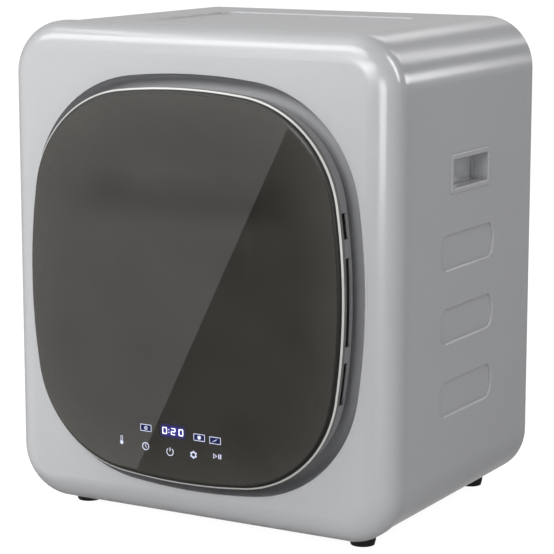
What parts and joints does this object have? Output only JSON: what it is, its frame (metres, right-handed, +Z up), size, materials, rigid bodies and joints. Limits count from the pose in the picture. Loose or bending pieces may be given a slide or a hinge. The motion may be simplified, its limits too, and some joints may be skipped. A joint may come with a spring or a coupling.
{
  "type": "compact tumble dryer",
  "caption": "Compact front-loading tumble dryer: rounded silver case, proud rounded-square dark glass door hinged left, drum, belt drive, fan, heater and lint filter.",
  "frame": {"origin": "on the floor plane, in the middle of the width and of the whole depth from the glass to the exhaust collar", "axes": "+X to the right seen from the front, +Y to the rear, +Z up; the door faces -Y"},
  "size_m": [0.494, 0.4106, 0.57],
  "materials": {
    "silver_sheet": "satin metallic silver paint",
    "silver_moulding": "satin metallic silver lacquer",
    "grey_moulding": "fine satin",
    "rim_silver": "bright polished",
    "smoked_glass": "dark tinted, polished",
    "clear_bowl": "smoked clear moulding",
    "black_rubber": "matt",
    "stainless": "brushed",
    "zinc_steel": "galvanised sheet",
    "steel_part": "turned",
    "black_moulding": "fine matt",
    "white_moulding": "satin",
    "felt": "pressed wool felt",
    "circuit_board": "green solder mask",
    "motor_steel": "black painted",
    "aluminium_fins": "plain",
    "filter_mesh": "woven mesh"
  },
  "bodies": {
    "case": {"base_tray": "zinc_steel", "bearing": "steel_part", "bearing_housing": "black_moulding", "case_wrap": "silver_sheet", "catch_magnet": "black_moulding", "control_board": "circuit_board", "control_carrier": "white_moulding", "cord_gland": "black_moulding", "door_switch": "white_moulding", "drive_belt": "black_rubber", "exhaust_collar": "black_moulding", "exhaust_duct": "white_moulding", "fan_housing": "white_moulding", "felt_ring": "felt", "foot_front_left": "black_rubber", "foot_front_right": "black_rubber", "foot_rear_left": "black_rubber", "foot_rear_right": "black_rubber", "foot_screws": "steel_part", "front_bulkhead": "zinc_steel", "front_duct": "white_moulding", "front_frame": "silver_moulding", "handle_cup_left": "silver_moulding", "handle_cup_right": "silver_moulding", "heater_box": "zinc_steel", "heater_element": "aluminium_fins", "hinge_bracket": "steel_part", "hinge_pin": "steel_part", "motor": "motor_steel", "motor_bracket": "zinc_steel", "rear_bulkhead": "zinc_steel", "rear_panel": "zinc_steel", "rear_screws": "steel_part", "thermostat": "black_moulding"},
    "door": {"door_glass": "smoked_glass", "door_rim": "rim_silver", "door_shell": "grey_moulding", "door_bowl": "clear_bowl", "door_seal": "black_rubber", "display_module": "black_moulding", "touch_board": "circuit_board", "keeper_plate": "steel_part", "hinge_leaf": "steel_part"},
    "drum": {"drum_shell": "stainless", "drum_back": "stainless", "drum_hub": "steel_part", "drum_shaft": "steel_part", "hub_screws": "steel_part", "lifter_1": "white_moulding", "lifter_2": "white_moulding", "lifter_3": "white_moulding"},
    "motor_rotor": {"motor_shaft": "steel_part", "motor_pulley": "steel_part", "fan_wheel": "black_moulding"},
    "lint_filter": {"lint_filter_frame": "grey_moulding", "lint_filter_mesh": "filter_mesh"}
  },
  "joints": [
    {"name": "door_hinge", "type": "hinge", "parent": "case", "child": "door", "pos_m": [-0.1895, -0.1887, 0.284], "axis": [0, 0, -1], "range_deg": [0, 100]},
    {"name": "drum_spin", "type": "hinge", "parent": "case", "child": "drum", "pos_m": [0, 0, 0.284], "axis": [0, 1, 0], "continuous": true},
    {"name": "motor_spin", "type": "hinge", "parent": "case", "child": "motor_rotor", "pos_m": [0.15, 0, 0.076], "axis": [0, 1, 0], "continuous": true},
    {"name": "filter_lift", "type": "slide", "parent": "case", "child": "lint_filter", "axis": [0, 0, 1], "range_m": [0, 0.055]}
  ],
  "couplings": [
    {"joint": "motor_spin", "follows": "drum_spin", "ratio": 17.712}
  ]
}
